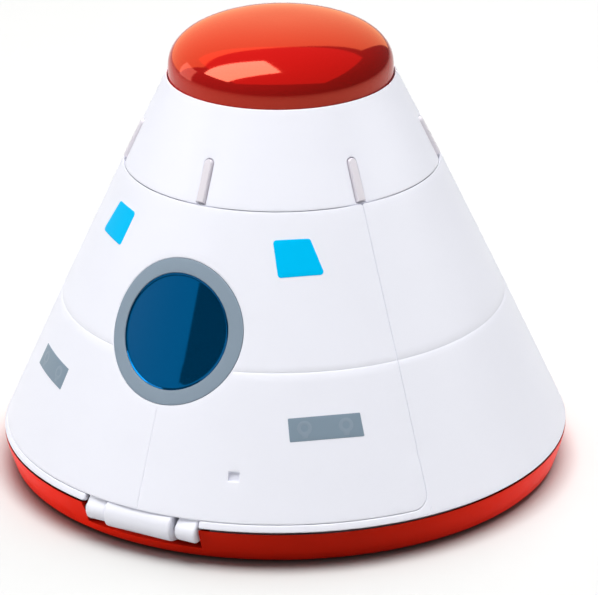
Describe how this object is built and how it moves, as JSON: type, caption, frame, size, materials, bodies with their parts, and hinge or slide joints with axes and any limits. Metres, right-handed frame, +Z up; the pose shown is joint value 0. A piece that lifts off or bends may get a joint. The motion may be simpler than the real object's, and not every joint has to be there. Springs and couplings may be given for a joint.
{
  "type": "toy space capsule",
  "caption": "Conical toy space capsule with a drop-down hatch, round tinted window, press-down dome on the nose and a seated cabin inside.",
  "frame": {"origin": "centre of the object's box, on the plane of the feet's undersides", "axes": "+Z up along the cone's axis, the hatch and its window face -Y"},
  "size_m": [0.2304, 0.2304, 0.1856],
  "materials": {
    "white_plastic": "satin moulded ABS",
    "red_plastic": "glossy moulded ABS",
    "red_gloss": "high gloss",
    "fin_plastic": "satin",
    "inner_plastic": "fine texture",
    "grey_plastic": "fine texture",
    "seat_plastic": "fine texture",
    "black_plastic": "matt",
    "foot_rubber": "matt",
    "window_grey": "satin print",
    "blue_print": "satin print",
    "grey_print": "satin print",
    "printed_label": "satin print",
    "tinted_window": "gloss",
    "lamp_clear": "gloss",
    "board_green": "satin",
    "cell_steel": "satin",
    "steel": "zinc plated"
  },
  "bodies": {
    "capsule": {"base_tray": "red_plastic", "foot_pads": "foot_rubber", "base_screws": "steel", "hinge_saddle": "white_plastic", "saddle_screws": "steel", "cabin_floor": "inner_plastic", "seat_left": "seat_plastic", "seat_right": "seat_plastic", "control_console": "grey_plastic", "console_plate": "printed_label", "rear_shell": "white_plastic", "nose_cone": "white_plastic", "nose_fins": "fin_plastic", "nose_screws": "steel", "sound_deck": "inner_plastic", "deck_screws": "steel", "speaker": "black_plastic", "battery_case": "black_plastic", "battery_contacts": "steel", "batteries": "cell_steel", "battery_cover": "inner_plastic", "cover_screw": "steel", "circuit_board": "board_green", "board_screws": "steel", "dome_switch": "black_plastic", "lamps": "lamp_clear", "dome_spring": "steel"},
    "hatch": {"hatch_panel": "white_plastic", "hinge_pin": "steel", "window_ring": "window_grey", "window_lens": "tinted_window", "window_retainer": "white_plastic", "retainer_screws": "steel", "blue_labels": "blue_print", "grey_labels": "grey_print"},
    "dome": {"dome_button": "red_gloss"}
  },
  "joints": [
    {"name": "hatch_hinge", "type": "hinge", "parent": "capsule", "child": "hatch", "pos_m": [0, -0.1096, 0.012], "axis": [1, 0, 0], "range_deg": [0, 115]},
    {"name": "dome_press", "type": "slide", "parent": "capsule", "child": "dome", "axis": [0, 0, 1], "range_m": [-0.0025, 0], "stiffness_N_per_m": 400, "springref_m": 0.003, "deforming": ["dome_spring"]}
  ]
}
